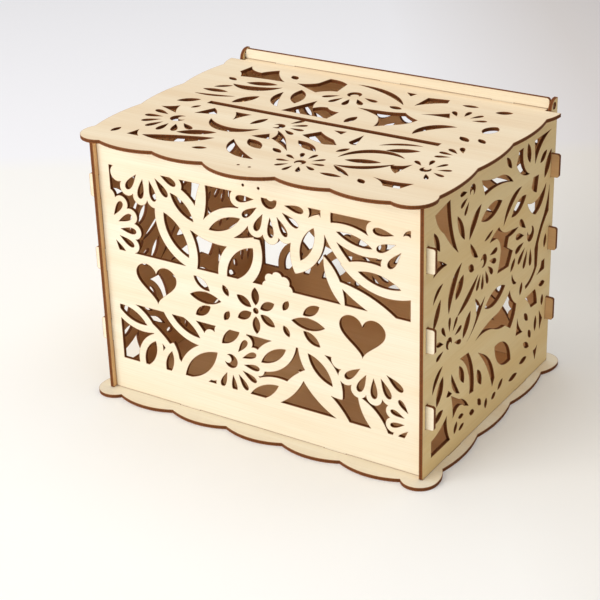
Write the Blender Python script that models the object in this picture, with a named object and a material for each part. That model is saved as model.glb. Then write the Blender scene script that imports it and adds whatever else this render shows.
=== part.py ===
"""Wedding card box, laser-cut from 3 mm plywood and slotted together without glue.

Five panels make the body: a scalloped base, a front, a back and two sides. Tabs on the front and the
back go through slots in the sides, and tabs under all four panels go into slots in the base. The lid
is a scalloped panel with a card slot. A rail stands on its rear edge, and the rail's two end pegs turn
in round holes in the ears of the side panels. The origin is the middle of the base's underside, the
front faces -Y and Z is up.
"""

import math

import bpy
from mathutils import Matrix, Vector
from mathutils.geometry import delaunay_2d_cdt

# Driving dimensions, in millimetres.
PLY = 3.0  # thickness of every panel
GAP = 0.3  # play between two panels that meet
HALF_WIDTH = 150.0  # middle to the outer face of a side panel
HALF_DEPTH = 112.5  # middle to the front edge of a side panel
WALL_TOP = 229.0  # top edge of the front and side panels
BACK_TOP = 228.0  # the back is lower, to leave room for the lid's heel
LIP = 4.5  # the front and back panels stand this far inside the side panels' edges
TAB = 20.0  # length of every tab
TAB_REACH = 7.0  # how far the wall tabs stand out of the side panels
TAB_HEIGHTS = (56.0, 120.5, 185.0)
FRONT_FEET = (-70.0, 70.0)
SIDE_FEET = (-60.0, 60.0)
FOOT_END = 0.2  # the feet stop this far above the underside of the base
LID_BOTTOM = WALL_TOP + GAP
LID_TOP = LID_BOTTOM + PLY
LID_REAR = 108.0
LID_CUT_BACK = 100.0
LID_HEEL = 145.0  # half width of the lid's rear edge, between the ears
SLOT_HALF = 107.0  # half length of the card slot
SLOT_FRONT = -11.0
SLOT_REAR = -5.0
PIN_Z = LID_TOP + 3.0
PIN_Y = LID_REAR - PLY / 2
PIN_HOLE = 6.0
RAIL_TOP = LID_TOP + 9.0
RAIL_HALF = 146.2
RAIL_FEET = (-105.0, 0.0, 105.0)
PEG = 4.0  # height of the rail's end pegs, which are square-cut strips of the same plywood
EAR_FRONT = 100.8
EAR_TOP = 240.8
PILOT = 2.2  # holes for the screws of a clasp

MM = 0.001
SMALLEST_OPENING = 6.0  # mm2: no gap of the lattice is smaller than this
ROUNDING = 0.2  # the straight runs of an arc stay this close to it
SHORTEST_EDGE = 0.7  # corners closer than this are one corner
FLATTEST_CORNER = 0.12  # a corner stands at least this far out of the line between its neighbours
HEART = 24  # points on a heart
EAR = 9  # points on the rounded front of an ear
LOBE = 6  # points on each lobe of a scalloped edge


def turned(points, x, y, degrees):
    """The outline turned about its own origin and moved to x, y."""
    c = math.cos(math.radians(degrees))
    s = math.sin(math.radians(degrees))
    return [(x + c * px - s * py, y + s * px + c * py) for px, py in points]


def arc(start, end, bulge, count=0):
    """Points of an arc without its last one, as many as count or as ROUNDING asks for.

    The arc bulges to the right of the way from start to end. A bulge of 0 makes it straight.
    """
    if not bulge:
        return [start]
    dx = end[0] - start[0]
    dy = end[1] - start[1]
    chord = math.hypot(dx, dy)
    radius = (chord * chord / 4 + bulge * bulge) / (2 * abs(bulge))
    half = math.asin(min(1.0, chord / 2 / radius))
    if abs(bulge) > chord / 2:
        half = math.pi - half
    count = count or max(2, math.ceil(half / math.acos(1 - ROUNDING / radius)))
    points = []
    for i in range(count):
        angle = -half + 2 * half * i / count
        along = 0.5 + radius * math.sin(angle) / chord
        off = math.copysign(radius * math.cos(angle) - radius + abs(bulge), bulge)
        points.append((start[0] + dx * along + dy / chord * off, start[1] + dy * along - dx / chord * off))
    return points


def box(x0, y0, x1, y1):
    return [(x0, y0), (x1, y0), (x1, y1), (x0, y1)]


def disc(x, y, diameter, count=8):
    """A round outline."""
    steps = [2 * math.pi * i / count for i in range(count)]
    return [(x + diameter / 2 * math.cos(a), y + diameter / 2 * math.sin(a)) for a in steps]


def leaf(x, y, length, width, angle):
    """A pointed oval."""
    a = (-length / 2, 0.0)
    b = (length / 2, 0.0)
    return turned(arc(a, b, width / 2) + arc(b, a, width / 2), x, y, angle)


def seed(x, y, length, width, angle):
    """A drop, pointed towards its flower's eye."""
    points = [(-0.5, 0.0), (0.12, -0.5), (0.44, -0.34), (0.44, 0.34), (0.12, 0.5)]
    return turned([(length * px, width * py) for px, py in points], x, y, angle)


def bloom(x, y, radius, petals, angle):
    """The outline of a flower with round petals. The first petal starts at angle."""
    valley = radius * 0.84
    half = math.pi / petals
    bulge = radius - valley * math.cos(half)
    points = []
    for k in range(petals):
        a = 2 * half * k
        first = (valley * math.cos(a), valley * math.sin(a))
        last = (valley * math.cos(a + 2 * half), valley * math.sin(a + 2 * half))
        points += arc(first, last, bulge)
    return turned(points, x, y, angle)


def crescent(x, y, radius, angle):
    """The eye of a flower: a disc with a bite out of it."""
    tips = [(radius * math.cos(math.radians(a)), radius * math.sin(math.radians(a))) for a in (35, -35)]
    outer = arc(tips[0], tips[1], radius * (1 + math.cos(math.radians(35))))
    inner = arc(tips[1], tips[0], -radius * 0.85)
    return turned(outer + inner, x, y, angle)


def heart(x, y, width, height):
    """A heart, point down."""
    points = []
    for i in range(HEART):
        t = -2 * math.pi * i / HEART
        across = math.sin(t) ** 3
        up = 13 * math.cos(t) - 5 * math.cos(2 * t) - 2 * math.cos(3 * t) - math.cos(4 * t) + 2.5
        points.append((x + width / 2 * across, y + height / 29 * up))
    return points


def stem(start, lead, trail, end, first_width, last_width):
    """A band along a Bezier curve."""
    left = []
    right = []
    for i in range(5):
        t = i / 4
        weights = ((1 - t) ** 3, 3 * t * (1 - t) ** 2, 3 * t * t * (1 - t), t**3)
        slopes = (-((1 - t) ** 2), (1 - t) * (1 - 3 * t), t * (2 - 3 * t), t * t)
        x, y = (sum(w * p[k] for w, p in zip(weights, (start, lead, trail, end))) for k in (0, 1))
        dx, dy = (sum(w * p[k] for w, p in zip(slopes, (start, lead, trail, end))) for k in (0, 1))
        half = (first_width + (last_width - first_width) * t) / 2 / math.hypot(dx, dy)
        left.append((x - dy * half, y + dx * half))
        right.append((x + dy * half, y - dx * half))
    return right + left[::-1]


def gap(*corners):
    """An opening with a few corners. Each is x, y and the bulge of the side that follows it."""
    points = []
    for (x0, y0, bulge), (x1, y1, _) in zip(corners, corners[1:] + corners[:1]):
        points += arc((x0, y0), (x1, y1), bulge)
    return points


def sickle(x0, y0, x1, y1, outer, inner):
    """The space between two arcs from one tip to the other, which both bulge to the right of the way."""
    return gap((x0, y0, outer), (x1, y1, -inner))


def seeds(x, y, radius, first, step, count, eye):
    """The openings of a flower: seeds from the angle first on, step apart, and a crescent eye or None."""
    cuts = []
    for k in range(count):
        a = math.radians(first + step * k)
        middle = (x + radius * 0.62 * math.cos(a), y + radius * 0.62 * math.sin(a))
        cuts.append(seed(*middle, radius * 0.46, radius * 0.17, math.degrees(a)))
    if eye is not None:
        cuts.append(crescent(x, y, radius * 0.19, eye))
    return cuts


def lattice(flowers, leaves, stems):
    """The solid motifs of a window, and what is pierced out of them.

    A flower is x, y, radius, petals, first seed's angle, number of seeds, eye's angle or None.
    A leaf is x, y, length, width, angle, and its opening as a part of it.
    A stem is four points and its width at both ends.
    """
    motifs = []
    pierced = []
    for x, y, radius, petals, first, count, eye in flowers:
        step = 360 / petals
        motifs.append(bloom(x, y, radius, petals, first - step / 2))
        pierced += seeds(x, y, radius, first, step, count, eye)
    for x, y, length, width, angle, opening in leaves:
        motifs.append(leaf(x, y, length, width, angle))
        if opening:
            pierced.append(leaf(x, y, length * opening, width * (opening - 0.17), angle))
    for points, first_width, last_width in stems:
        motifs.append(stem(*points, first_width, last_width))
    return motifs, pierced


def slits(origin, flowers, leaves, sickles, gaps):
    """A lattice that is mostly solid, as the list of its openings, with origin added to each."""
    cuts = []
    for flower in flowers:
        cuts += seeds(*flower)
    cuts += [leaf(*sizes) for sizes in leaves]
    cuts += [sickle(*sizes) for sizes in sickles]
    cuts += [gap(*corners) for corners in gaps]
    return [[(x + origin[0], y + origin[1]) for x, y in cut] for cut in cuts]


def area(loop):
    return sum(a.x * b.y - b.x * a.y for a, b in zip(loop, loop[1:] + loop[:1])) / 2


def triangulated(outlines):
    """Triangles over all outlines, each with the set of outlines that it lies in."""
    points = []
    faces = []
    for outline in outlines:
        loop = [Vector(p) for p in outline]
        if area(loop) < 0:
            loop.reverse()
        faces.append(list(range(len(points), len(points) + len(loop))))
        points += loop
    found, _, triangles, _, _, inside = delaunay_2d_cdt(points, [], faces, 1, 1e-5)
    return found, [(tuple(t), set(held)) for t, held in zip(triangles, inside)]


def rims(points, kept):
    """The closed loops round the kept triangles, with the solid on their left."""
    ways = {(t[i], t[(i + 1) % 3]) for t in kept for i in range(3)}
    onward = {}
    for a, b in ways:
        if (b, a) not in ways:
            onward.setdefault(a, []).append(b)
    loops = []
    while onward:
        start = next(iter(onward))
        loop = []
        here = start
        while not loop or here != start:
            loop.append(points[here])
            after = onward[here].pop()
            if not onward[here]:
                del onward[here]
            here = after
        loops.append(loop)
    return loops


def tidied(loop):
    """The loop without points that stand almost on another one or on the line between their neighbours."""
    points = list(loop)
    i = 0
    while i < len(points) and len(points) > 3:
        before = points[i - 1]
        here = points[i]
        after = points[(i + 1) % len(points)]
        span = after - before
        off = abs(span.x * (here.y - before.y) - span.y * (here.x - before.x)) / max(span.length, 1e-6)
        if (here - before).length < SHORTEST_EDGE or off < FLATTEST_CORNER:
            points.pop(i)
            i = max(i - 1, 0)
        else:
            i += 1
    return points


def cut_sheet(plate, windows=(), motifs=(), pierced=(), cuts=(), holes=()):
    """The flat shape of a panel as points and triangles: a plate with lattice windows and plain cuts.

    The holes are kept however small they are.
    """
    outlines = [plate, *windows, *motifs, *pierced, *cuts]
    groups = []
    for group in ([plate], windows, motifs, pierced, cuts):
        start = groups[-1].stop if groups else 0
        groups.append(range(start, start + len(group)))
    points, triangles = triangulated(outlines)
    kept = []
    for triangle, held in triangles:
        on_plate, in_window, in_motif, in_pierced, in_cut = (any(i in held for i in g) for g in groups)
        lattice_solid = in_motif and not in_pierced
        if on_plate and not in_cut and (lattice_solid or not in_window):
            kept.append(triangle)
    loops = [tidied(loop) for loop in rims(points, kept)]
    loops = [loop for loop in loops if area(loop) > 100 * SMALLEST_OPENING or area(loop) < -SMALLEST_OPENING]
    loops += [[Vector(p) for p in hole[::-1]] for hole in holes]
    points, triangles = triangulated(loops)
    return points, [triangle for triangle, held in triangles if len(held) % 2]


def make_panel(name, sheet, origin, across, up, hinge=None):
    """A panel PLY thick from a flat shape, whose axes go along across and up from origin."""
    points, triangles = sheet
    data = bpy.data.meshes.new(name)
    data.from_pydata([(p.x * MM, p.y * MM, 0.0) for p in points], [], triangles)
    data.materials.append(plywood)
    panel = bpy.data.objects.new(name, data)
    bpy.context.scene.collection.objects.link(panel)
    thickness = panel.modifiers.new("thickness", "SOLIDIFY")
    thickness.thickness = PLY * MM
    thickness.offset = 1.0
    normal = Vector(across).cross(Vector(up))
    corner = Vector(origin) * MM
    panel.matrix_world = Matrix(((*across, 0.0), (*up, 0.0), (*normal, 0.0), (*corner, 1.0))).transposed()
    if hinge:
        panel.parent = hinge
        panel.matrix_parent_inverse = Matrix.Translation(-hinge.location)


def scallops(valleys, bulges):
    """Arcs from valley to valley, and on to the first one."""
    points = []
    for a, b, bulge in zip(valleys, valleys[1:] + valleys[:1], bulges):
        points += arc(a, b, bulge, LOBE)
    return points


def base_outline():
    """Scalloped all round, with a broad lobe at each corner."""
    front = [(x, -118.7) for x in (-134.0, -80.4, -26.8, 26.8, 80.4, 134.0)]
    side = [(155.4, y) for y in (-90.0, -30.0, 30.0, 90.0)]
    half = front + [(160.7, -112.0)] + side + [(160.7, 112.0)]
    valleys = half + [(-x, -y) for x, y in half]
    bulges = ([6.0] * 5 + [9.0, 2.2] + [3.8] * 3 + [2.2, 9.0]) * 2
    return scallops(valleys, bulges)


def lid_outline():
    """Scalloped at the front and sides, and cut back at the rear to go between the ears."""
    front = [(x, -123.0) for x in (-131.0, -80.0, -33.0, 32.0, 79.0, 129.0)]
    side = [(154.5, y) for y in (-98.0, -38.0, 22.0, 82.0)]
    right = [(158.7, LID_CUT_BACK), (LID_HEEL, LID_CUT_BACK), (LID_HEEL, LID_REAR)]
    left = [(-x, y) for x, y in right[::-1]]
    points = scallops(front + side + right[:1], [5.0, 5.0, 12.0, 5.0, 5.0, 13.5, 3.0, 3.0, 3.0, 1.0, 1.0])
    points = points[: LOBE * 10]
    points += right
    for x in RAIL_FEET[::-1]:
        points += [(x + TAB / 2 + GAP, LID_REAR), (x + TAB / 2 + GAP, LID_REAR - PLY - GAP)]
        points += [(x - TAB / 2 - GAP, LID_REAR - PLY - GAP), (x - TAB / 2 - GAP, LID_REAR)]
    points += left
    mirrored = [(-x, y) for x, y in side[::-1]]
    way = left[-1:] + mirrored + front[:1]
    for a, b, bulge in zip(way, way[1:], (1.0, 3.0, 3.0, 3.0, 13.5)):
        points += arc(a, b, bulge, LOBE)[1 if a == way[0] else 0 :]
    return points


def wall_outline(top):
    """The front or back panel: three tabs at each end and two feet, with the tabs' outer corners rounded."""
    inner = HALF_WIDTH - PLY - GAP
    outer = HALF_WIDTH + TAB_REACH
    points = []
    for x in FRONT_FEET:
        points += [(x - TAB / 2, PLY + GAP), (x - TAB / 2, FOOT_END)]
        points += [(x + TAB / 2, FOOT_END), (x + TAB / 2, PLY + GAP)]
    right = [(inner, PLY + GAP)]
    for z in TAB_HEIGHTS:
        low = z - TAB / 2
        high = z + TAB / 2
        right.append((inner, low))
        right += arc((outer - 2, low), (outer, low + 2), 0.6, 2) + [(outer, low + 2)]
        right += arc((outer, high - 2), (outer - 2, high), 0.6, 2) + [(outer - 2, high)]
        right.append((inner, high))
    right.append((inner, top))
    return points + right + [(-x, z) for x, z in right[::-1]]


def side_outline():
    """A side panel, with two feet and the ear that carries the lid."""
    points = [(-HALF_DEPTH, PLY + GAP)]
    for y in SIDE_FEET:
        points += [(y - TAB / 2, PLY + GAP), (y - TAB / 2, FOOT_END)]
        points += [(y + TAB / 2, FOOT_END), (y + TAB / 2, PLY + GAP)]
    points += [(HALF_DEPTH, PLY + GAP), (HALF_DEPTH, EAR_TOP)]
    crown = 109.5
    shoulder = LID_TOP - 0.3
    for i in range(EAR):
        a = math.pi / 2 * i / (EAR - 1)
        y = crown - (crown - EAR_FRONT) * math.sin(a)
        points.append((y, shoulder + (EAR_TOP - shoulder) * math.cos(a)))
    return points + [(EAR_FRONT, WALL_TOP), (-HALF_DEPTH, WALL_TOP)]


def rail_outline():
    """The hinge rail: pegs at both ends, feet below and rounded upper corners."""
    right = [(RAIL_HALF, LID_TOP + GAP), (RAIL_HALF, PIN_Z - PEG / 2)]
    right += [(HALF_WIDTH, PIN_Z - PEG / 2), (HALF_WIDTH, PIN_Z + PEG / 2), (RAIL_HALF, PIN_Z + PEG / 2)]
    right += arc((RAIL_HALF, RAIL_TOP - 2.5), (RAIL_HALF - 2.5, RAIL_TOP), 0.73, 3)
    right.append((RAIL_HALF - 2.5, RAIL_TOP))
    feet = []
    for x in RAIL_FEET:
        feet += [(x - TAB / 2, LID_TOP + GAP), (x - TAB / 2, LID_BOTTOM)]
        feet += [(x + TAB / 2, LID_BOTTOM), (x + TAB / 2, LID_TOP + GAP)]
    return feet + right + [(-x, z) for x, z in right[::-1]]


def slots_across(heights, y):
    """Slots through a side panel for the tabs of a wall whose middle plane is y."""
    return [box(y - PLY / 2 - GAP, z - TAB / 2 - GAP, y + PLY / 2 + GAP, z + TAB / 2 + GAP) for z in heights]


def emblem(z):
    """A row of cut-outs: a blossom in the middle, and a sprig and a heart on either hand."""
    cuts = [disc(0.0, z, 5.0)]
    for k in range(6):
        a = math.radians(60 * k + 30)
        cuts.append(leaf(12.5 * math.cos(a), z + 12.5 * math.sin(a), 15.0, 7.0, 60 * k + 30))
    for hand in (-1, 1):
        cuts.append(heart(hand * 96, z, 40.0, 34.0))
        cuts.append(leaf(hand * 48, z, 30.0, 10.0, 0.0))
        for rise in (-1, 1):
            cuts.append(leaf(hand * 51, z + rise * 12, 18.0, 7.5, hand * rise * 35))
            cuts.append(leaf(hand * 28, z + rise * 11, 10.0, 5.0, hand * rise * 60))
    return cuts


WALL_WINDOWS = (box(-136, 133, 137, 206), box(-136, 33, 137, 86))
WALL_LATTICE = lattice(
    flowers=(
        (-100, 214, 38, 14, -128, 6, None),
        (-142, 152, 34, 13, -55, 5, None),
        (16, 205, 36, 13, -172, 7, 70),
        (138, 198, 38, 13, 150, 4, 200),
        (21, 133, 14, 8, 90, 0, None),
        (-26, 58, 32, 13, -112, 7, 160),
        (105, 92, 38, 14, -140, 5, None),
        (142, 47, 27, 11, 130, 5, 200),
    ),
    leaves=(
        (-73, 158, 66, 31, -57, 0.62),
        (-66, 183, 56, 25, -44, 0.52),
        (-48, 188, 52, 10, 80, 0.0),
        (-26, 177, 62, 25, 27, 0.54),
        (-13, 146, 62, 34, 52, 0.66),
        (49, 176, 58, 27, 67, 0.54),
        (90, 188, 60, 20, -14, 0.52),
        (111, 160, 68, 24, -11, 0.54),
        (104, 138, 70, 12, -24, 0.0),
        (72, 150, 44, 11, -66, 0.0),
        (-124, 76, 54, 22, -24, 0.6),
        (-70, 80, 58, 23, -32, 0.58),
        (-107, 44, 46, 23, 66, 0.6),
        (-88, 40, 42, 19, 76, 0.56),
        (-56, 47, 66, 30, 42, 0.68),
        (-25, 81, 44, 22, 44, 0.58),
        (-53, 69, 44, 11, -24, 0.0),
        (15, 73, 54, 24, 36, 0.54),
        (4, 38, 58, 24, 32, 0.6),
        (31, 50, 50, 11, 52, 0.0),
        (58, 72, 58, 27, -47, 0.55),
        (62, 47, 62, 14, -38, 0.0),
        (106, 40, 48, 14, -52, 0.0),
    ),
    stems=(
        (((-54, 168), (-42, 161), (-22, 160), (2, 168)), 9, 8),
        (((66, 208), (64, 192), (70, 178), (90, 161)), 9, 7),
        (((-106, 70), (-94, 62), (-84, 52), (-72, 30)), 7, 7),
    ),
)

SIDE_SLITS = slits(
    (-HALF_DEPTH, PLY),
    flowers=(
        (97, 145, 28, -118, 24, 6, 200),
        (182, 135, 34, 138, 27, 6, 110),
        (41, 99, 25, -20, 36, 7, 300),
        (76, 211, 24, 172, 30, 3, 250),
    ),
    leaves=(
        (20, 190, 20, 6, -62),
        (58, 187, 26, 7, -62),
        (109, 182, 36, 12, 6),
        (138, 211, 15, 5, -50),
        (174, 207, 18, 7, -75),
        (202, 195, 14, 6, 30),
        (211, 186, 24, 9, 62),
        (158, 168, 28, 10, 20),
        (21, 131, 24, 7, 62),
        (57, 139, 20, 9, 52),
        (76, 147, 11, 6, -35),
        (70, 102, 22, 8, 56),
        (119, 105, 36, 13, 8),
        (27, 64, 24, 9, 66),
        (63, 62, 20, 7, -66),
        (94, 45, 18, 7, -66),
        (136, 47, 40, 18, -40),
        (24, 43, 18, 7, 16),
        (211, 118, 12, 5, 80),
        (208, 80, 12, 5, -10),
        (63, 25, 9, 4, -10),
        (64, 15, 9, 4, 15),
        (54, 19, 10, 5, 65),
        (82, 19, 9, 5, -20),
        (95, 22, 10, 5, -50),
        (107, 15, 9, 5, 85),
        (121, 15, 8, 5, 20),
        (133, 20, 11, 5, 35),
        (157, 15, 16, 5, 0),
        (176, 22, 14, 5, 0),
        (150, 120, 12, 5, 50),
        (167, 92, 11, 5, 75),
        (179, 61, 12, 5, -50),
        (187, 42, 10, 5, -60),
        (181, 34, 14, 5, -35),
        (198, 47, 14, 5, 88),
        (210, 64, 10, 5, 90),
    ),
    sickles=(
        (91, 194, 72, 172, 6, -2),
        (74, 168, 87, 152, 4, -1),
        (162, 183, 131, 161, 8, 2),
        (30, 153, 15, 142, 4, 0),
        (60, 158, 40, 124, 9, 1),
        (54, 116, 88, 137, 5, -1),
        (31, 84, 15, 67, 5, 0),
        (46, 70, 60, 47, 5, 0),
        (149, 112, 158, 101, 4, 1),
        (98, 161, 112, 165, 2, -1),
    ),
    gaps=(
        ((54, 169, -3), (40, 216, 0), (17, 212, 2), (31, 193, 1)),
        ((15, 164, -1), (36, 166, 1), (18, 176, 0)),
        ((97, 199, -3), (146, 193, 3), (120, 206, -1), (91, 213, 0)),
        ((176, 189, -5), (163, 215, 0), (155, 215, -1), (151, 205, 4)),
        ((186, 194, -4), (215, 214, 0), (184, 214, 0)),
        ((190, 149, 5), (209, 170, -6), (174, 164, 2)),
        ((181, 175, 1), (191, 168, 0), (194, 182, 0), (184, 183, 0)),
        (
            (107, 156, 0),
            (119, 155, -2),
            (127, 142, -1),
            (122, 124, 0),
            (142, 122, 0),
            (149, 133, 0),
            (138, 140, 0),
            (141, 148, 1),
            (158, 150, 0),
            (139, 153, -2),
            (123, 163, 1),
        ),
        (
            (216, 166, -1),
            (207, 143, 1),
            (191, 118, 0),
            (192, 101, -2),
            (175, 91, 0),
            (176, 88, 3),
            (197, 101, 0),
            (198, 120, -2),
            (216, 143, 0),
        ),
        ((71, 87, 3), (101, 113, 0), (93, 108, 1), (84, 118, 0), (87, 103, -2)),
        ((86, 81, -3), (120, 76, 1), (139, 71, 0), (149, 64, 2), (159, 82, -2), (146, 99, -2), (124, 88, 2)),
        ((60, 77, -6), (77, 38, 0), (84, 37, 4), (74, 76, 0)),
        ((91, 68, -3), (118, 25, 0), (122, 31, 4), (101, 62, 0)),
        ((46, 51, -1), (49, 30, 0), (56, 35, -2), (68, 32, 0), (76, 28, 2), (59, 42, 0)),
        ((14, 13, 0), (45, 13, -2), (39, 37, -2), (14, 27, 0)),
        ((176, 79, -1), (188, 66, 0), (200, 65, 1), (195, 80, 0)),
        ((162, 67, -0.5), (160, 52, 0), (173, 50, -1.5)),
        ((196, 22, 0), (200, 12, 0), (204, 24, -1)),
        ((205, 56, 0), (207, 37, 0), (212, 46, 0)),
        ((38, 54, 1), (47, 53, 0), (41, 58, 0)),
        ((197, 92, 0), (212, 92, 0), (212, 101, 0), (206, 101, -2)),
    ),
)

LID_SLITS = slits(
    (-170.0, -142.5),
    flowers=(
        (160, 206, 32, -142, 31, 5, 300),
        (265, 190, 26, 20, 36, 4, None),
        (64, 90, 35, 163, 27, 7, 30),
        (146, 112, 27, -30, 30, 4, 200),
        (203, 53, 23, -28, 36, 10, 270),
        (292, 84, 23, -60, 40, 6, 90),
        (306, 118, 26, 120, 26, 4, None),
    ),
    leaves=(
        (76, 194, 28, 9, 14),
        (46, 194, 11, 5, -25),
        (50, 174, 16, 5, 34),
        (50, 162, 24, 7, 4),
        (86, 154, 26, 10, 62),
        (121, 180, 34, 12, -68),
        (92, 221, 11, 6, -40),
        (206, 193, 12, 6, -10),
        (258, 224, 14, 5, 4),
        (289, 222, 14, 7, 20),
        (288, 154, 13, 6, -36),
        (302, 156, 11, 5, -40),
        (297, 181, 18, 12, 80),
        (45, 131, 20, 8, 34),
        (96, 70, 32, 10, 24),
        (35, 46, 11, 5, 80),
        (118, 43, 12, 5, 20),
        (126, 114, 18, 6, 70),
        (151, 70, 24, 10, -36),
        (174, 66, 12, 5, -30),
        (189, 85, 28, 9, -31),
        (259, 110, 26, 8, 22),
        (243, 77, 28, 8, 15),
        (236, 42, 18, 5, 0),
        (262, 42, 10, 5, -40),
        (218, 90, 12, 5, 60),
        (60, 120, 9, 4, 60),
        (188, 152, 16, 7, 80),
    ),
    sickles=(
        (54, 183, 97, 193, 13, 3),
        (38, 149, 74, 156, 4, 0),
        (104, 184, 119, 151, 8, 1),
        (208, 202, 150, 230, 10, 4),
        (247, 146, 271, 175, -3, -12),
        (88, 102, 136, 99, 18, 9),
        (61, 46, 116, 66, 12, -2),
        (131, 71, 168, 42, 12, 2),
        (237, 112, 268, 125, -1, -5),
        (222, 76, 268, 96, -10, -17),
        (228, 61, 267, 82, 9, 3),
        (228, 60, 249, 46, 2, -2),
    ),
    gaps=(
        ((48, 203, -1), (90, 207, -2), (70, 231, 1), (59, 219, -3), (42, 230, 0), (40, 214, -1)),
        ((102, 209, 0), (128, 196, -2), (143, 206, 0), (141, 226, 2), (121, 232, 0), (118, 218, -2)),
        ((127, 145, 0), (170, 145, 0), (171, 162, -2), (157, 168, 2), (147, 161, -1), (141, 178, 0)),
        (
            (179, 179, -1),
            (203, 169, -2),
            (212, 147, 0),
            (226, 158, 2),
            (236, 175, -1),
            (219, 186, -1),
            (199, 181, 0),
        ),
        ((217, 205, -2), (238, 222, 0), (236, 230, 0), (218, 227, 0)),
        ((196, 231, 0), (203, 224, 0), (205, 231, 0)),
        ((232, 189, -1), (256, 191, 0), (251, 201, -0.5)),
        ((34, 108, 0), (54, 100, -1), (47, 116, -1)),
        ((68, 107, 0), (86, 112, 1), (76, 124, 0)),
        ((97, 124, -1), (105, 108, -1), (112, 124, 0)),
        ((139, 84, 1), (155, 84, 0), (149, 94, 0)),
        ((151, 103, -2), (156, 86, -1), (181, 69, 0), (167, 89, 1)),
        ((173, 104, 1), (199, 94, 0), (208, 97, 0), (200, 106, -1), (182, 117, 0)),
        ((213, 108, 2), (221, 104, 0), (216, 125, 0)),
        ((265, 80, 1), (276, 67, 0), (279, 88, -2)),
        ((266, 53, -1.5), (280, 42, 0), (293, 42, 0), (298, 55, -2)),
        ((49, 42, 0), (60, 42, -1), (52, 54, 0)),
        ((190, 124, 0), (199, 119, 0), (200, 126, 0)),
    ),
)

for thing in list(bpy.data.objects):
    bpy.data.objects.remove(thing)

plywood = bpy.data.materials.new("plywood")
plywood.use_nodes = True
plywood.node_tree.nodes["Principled BSDF"].inputs["Base Color"].default_value = (0.87, 0.75, 0.53, 1.0)
plywood.node_tree.nodes["Principled BSDF"].inputs["Roughness"].default_value = 0.62
plywood.node_tree.nodes["Principled BSDF"].inputs["Metallic"].default_value = 0.0

# The lid turns about the pegs of its rail.
lid_hinge = bpy.data.objects.new("lid_hinge", None)
lid_hinge.location = (0.0, PIN_Y * MM, PIN_Z * MM)
bpy.context.scene.collection.objects.link(lid_hinge)

WALL_MIDDLE = HALF_DEPTH - LIP - PLY / 2
pilots = [disc(x, 213.0, PILOT) for x in (-7.0, 7.0)]
front_sheet = cut_sheet(wall_outline(WALL_TOP), WALL_WINDOWS, *WALL_LATTICE, emblem(109.0), pilots)
make_panel("front_panel", front_sheet, (0.0, PLY / 2 - WALL_MIDDLE, 0.0), (1.0, 0.0, 0.0), (0.0, 0.0, 1.0))

back_sheet = cut_sheet(wall_outline(BACK_TOP), WALL_WINDOWS, *WALL_LATTICE)
make_panel("back_panel", back_sheet, (0.0, WALL_MIDDLE + PLY / 2, 0.0), (1.0, 0.0, 0.0), (0.0, 0.0, 1.0))

side_cuts = slots_across(TAB_HEIGHTS, -WALL_MIDDLE) + slots_across(TAB_HEIGHTS, WALL_MIDDLE)
side_cuts.append(disc(PIN_Y, PIN_Z, PIN_HOLE, 16))
side_sheet = cut_sheet(side_outline(), cuts=side_cuts + SIDE_SLITS)
make_panel("right_panel", side_sheet, (HALF_WIDTH - PLY, 0.0, 0.0), (0.0, 1.0, 0.0), (0.0, 0.0, 1.0))
make_panel("left_panel", side_sheet, (-HALF_WIDTH, 0.0, 0.0), (0.0, 1.0, 0.0), (0.0, 0.0, 1.0))

base_cuts = []
for y in (-WALL_MIDDLE, WALL_MIDDLE):
    for x in FRONT_FEET:
        base_cuts.append(box(x - TAB / 2 - GAP, y - PLY / 2 - GAP, x + TAB / 2 + GAP, y + PLY / 2 + GAP))
for x in (PLY / 2 - HALF_WIDTH, HALF_WIDTH - PLY / 2):
    for y in SIDE_FEET:
        base_cuts.append(box(x - PLY / 2 - GAP, y - TAB / 2 - GAP, x + PLY / 2 + GAP, y + TAB / 2 + GAP))
base_sheet = cut_sheet(base_outline(), cuts=base_cuts)
make_panel("base_plate", base_sheet, (0.0, 0.0, 0.0), (1.0, 0.0, 0.0), (0.0, 1.0, 0.0))

card_slot = box(-SLOT_HALF, SLOT_FRONT, SLOT_HALF, SLOT_REAR)
lid_pilots = [disc(x, -115.5, PILOT) for x in (-5.0, 5.0)]
lid_sheet = cut_sheet(lid_outline(), cuts=[card_slot, *LID_SLITS], holes=lid_pilots)
make_panel("lid_panel", lid_sheet, (0.0, 0.0, LID_BOTTOM), (1.0, 0.0, 0.0), (0.0, 1.0, 0.0), lid_hinge)

rail_sheet = cut_sheet(rail_outline())
make_panel("hinge_rail", rail_sheet, (0.0, LID_REAR, 0.0), (1.0, 0.0, 0.0), (0.0, 0.0, 1.0), lid_hinge)
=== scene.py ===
"""The wedding card box as it looks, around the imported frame.

Each panel is cut again from 3 mm plywood with smooth curves, a sawn-veneer face, burnt cut edges and a
faint scorched rim round every opening. The panels stand in the frame's own place and size.
"""

import math

import bmesh
import bpy
from mathutils import Matrix, Vector
from mathutils.geometry import delaunay_2d_cdt
from mathutils.kdtree import KDTree


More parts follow.
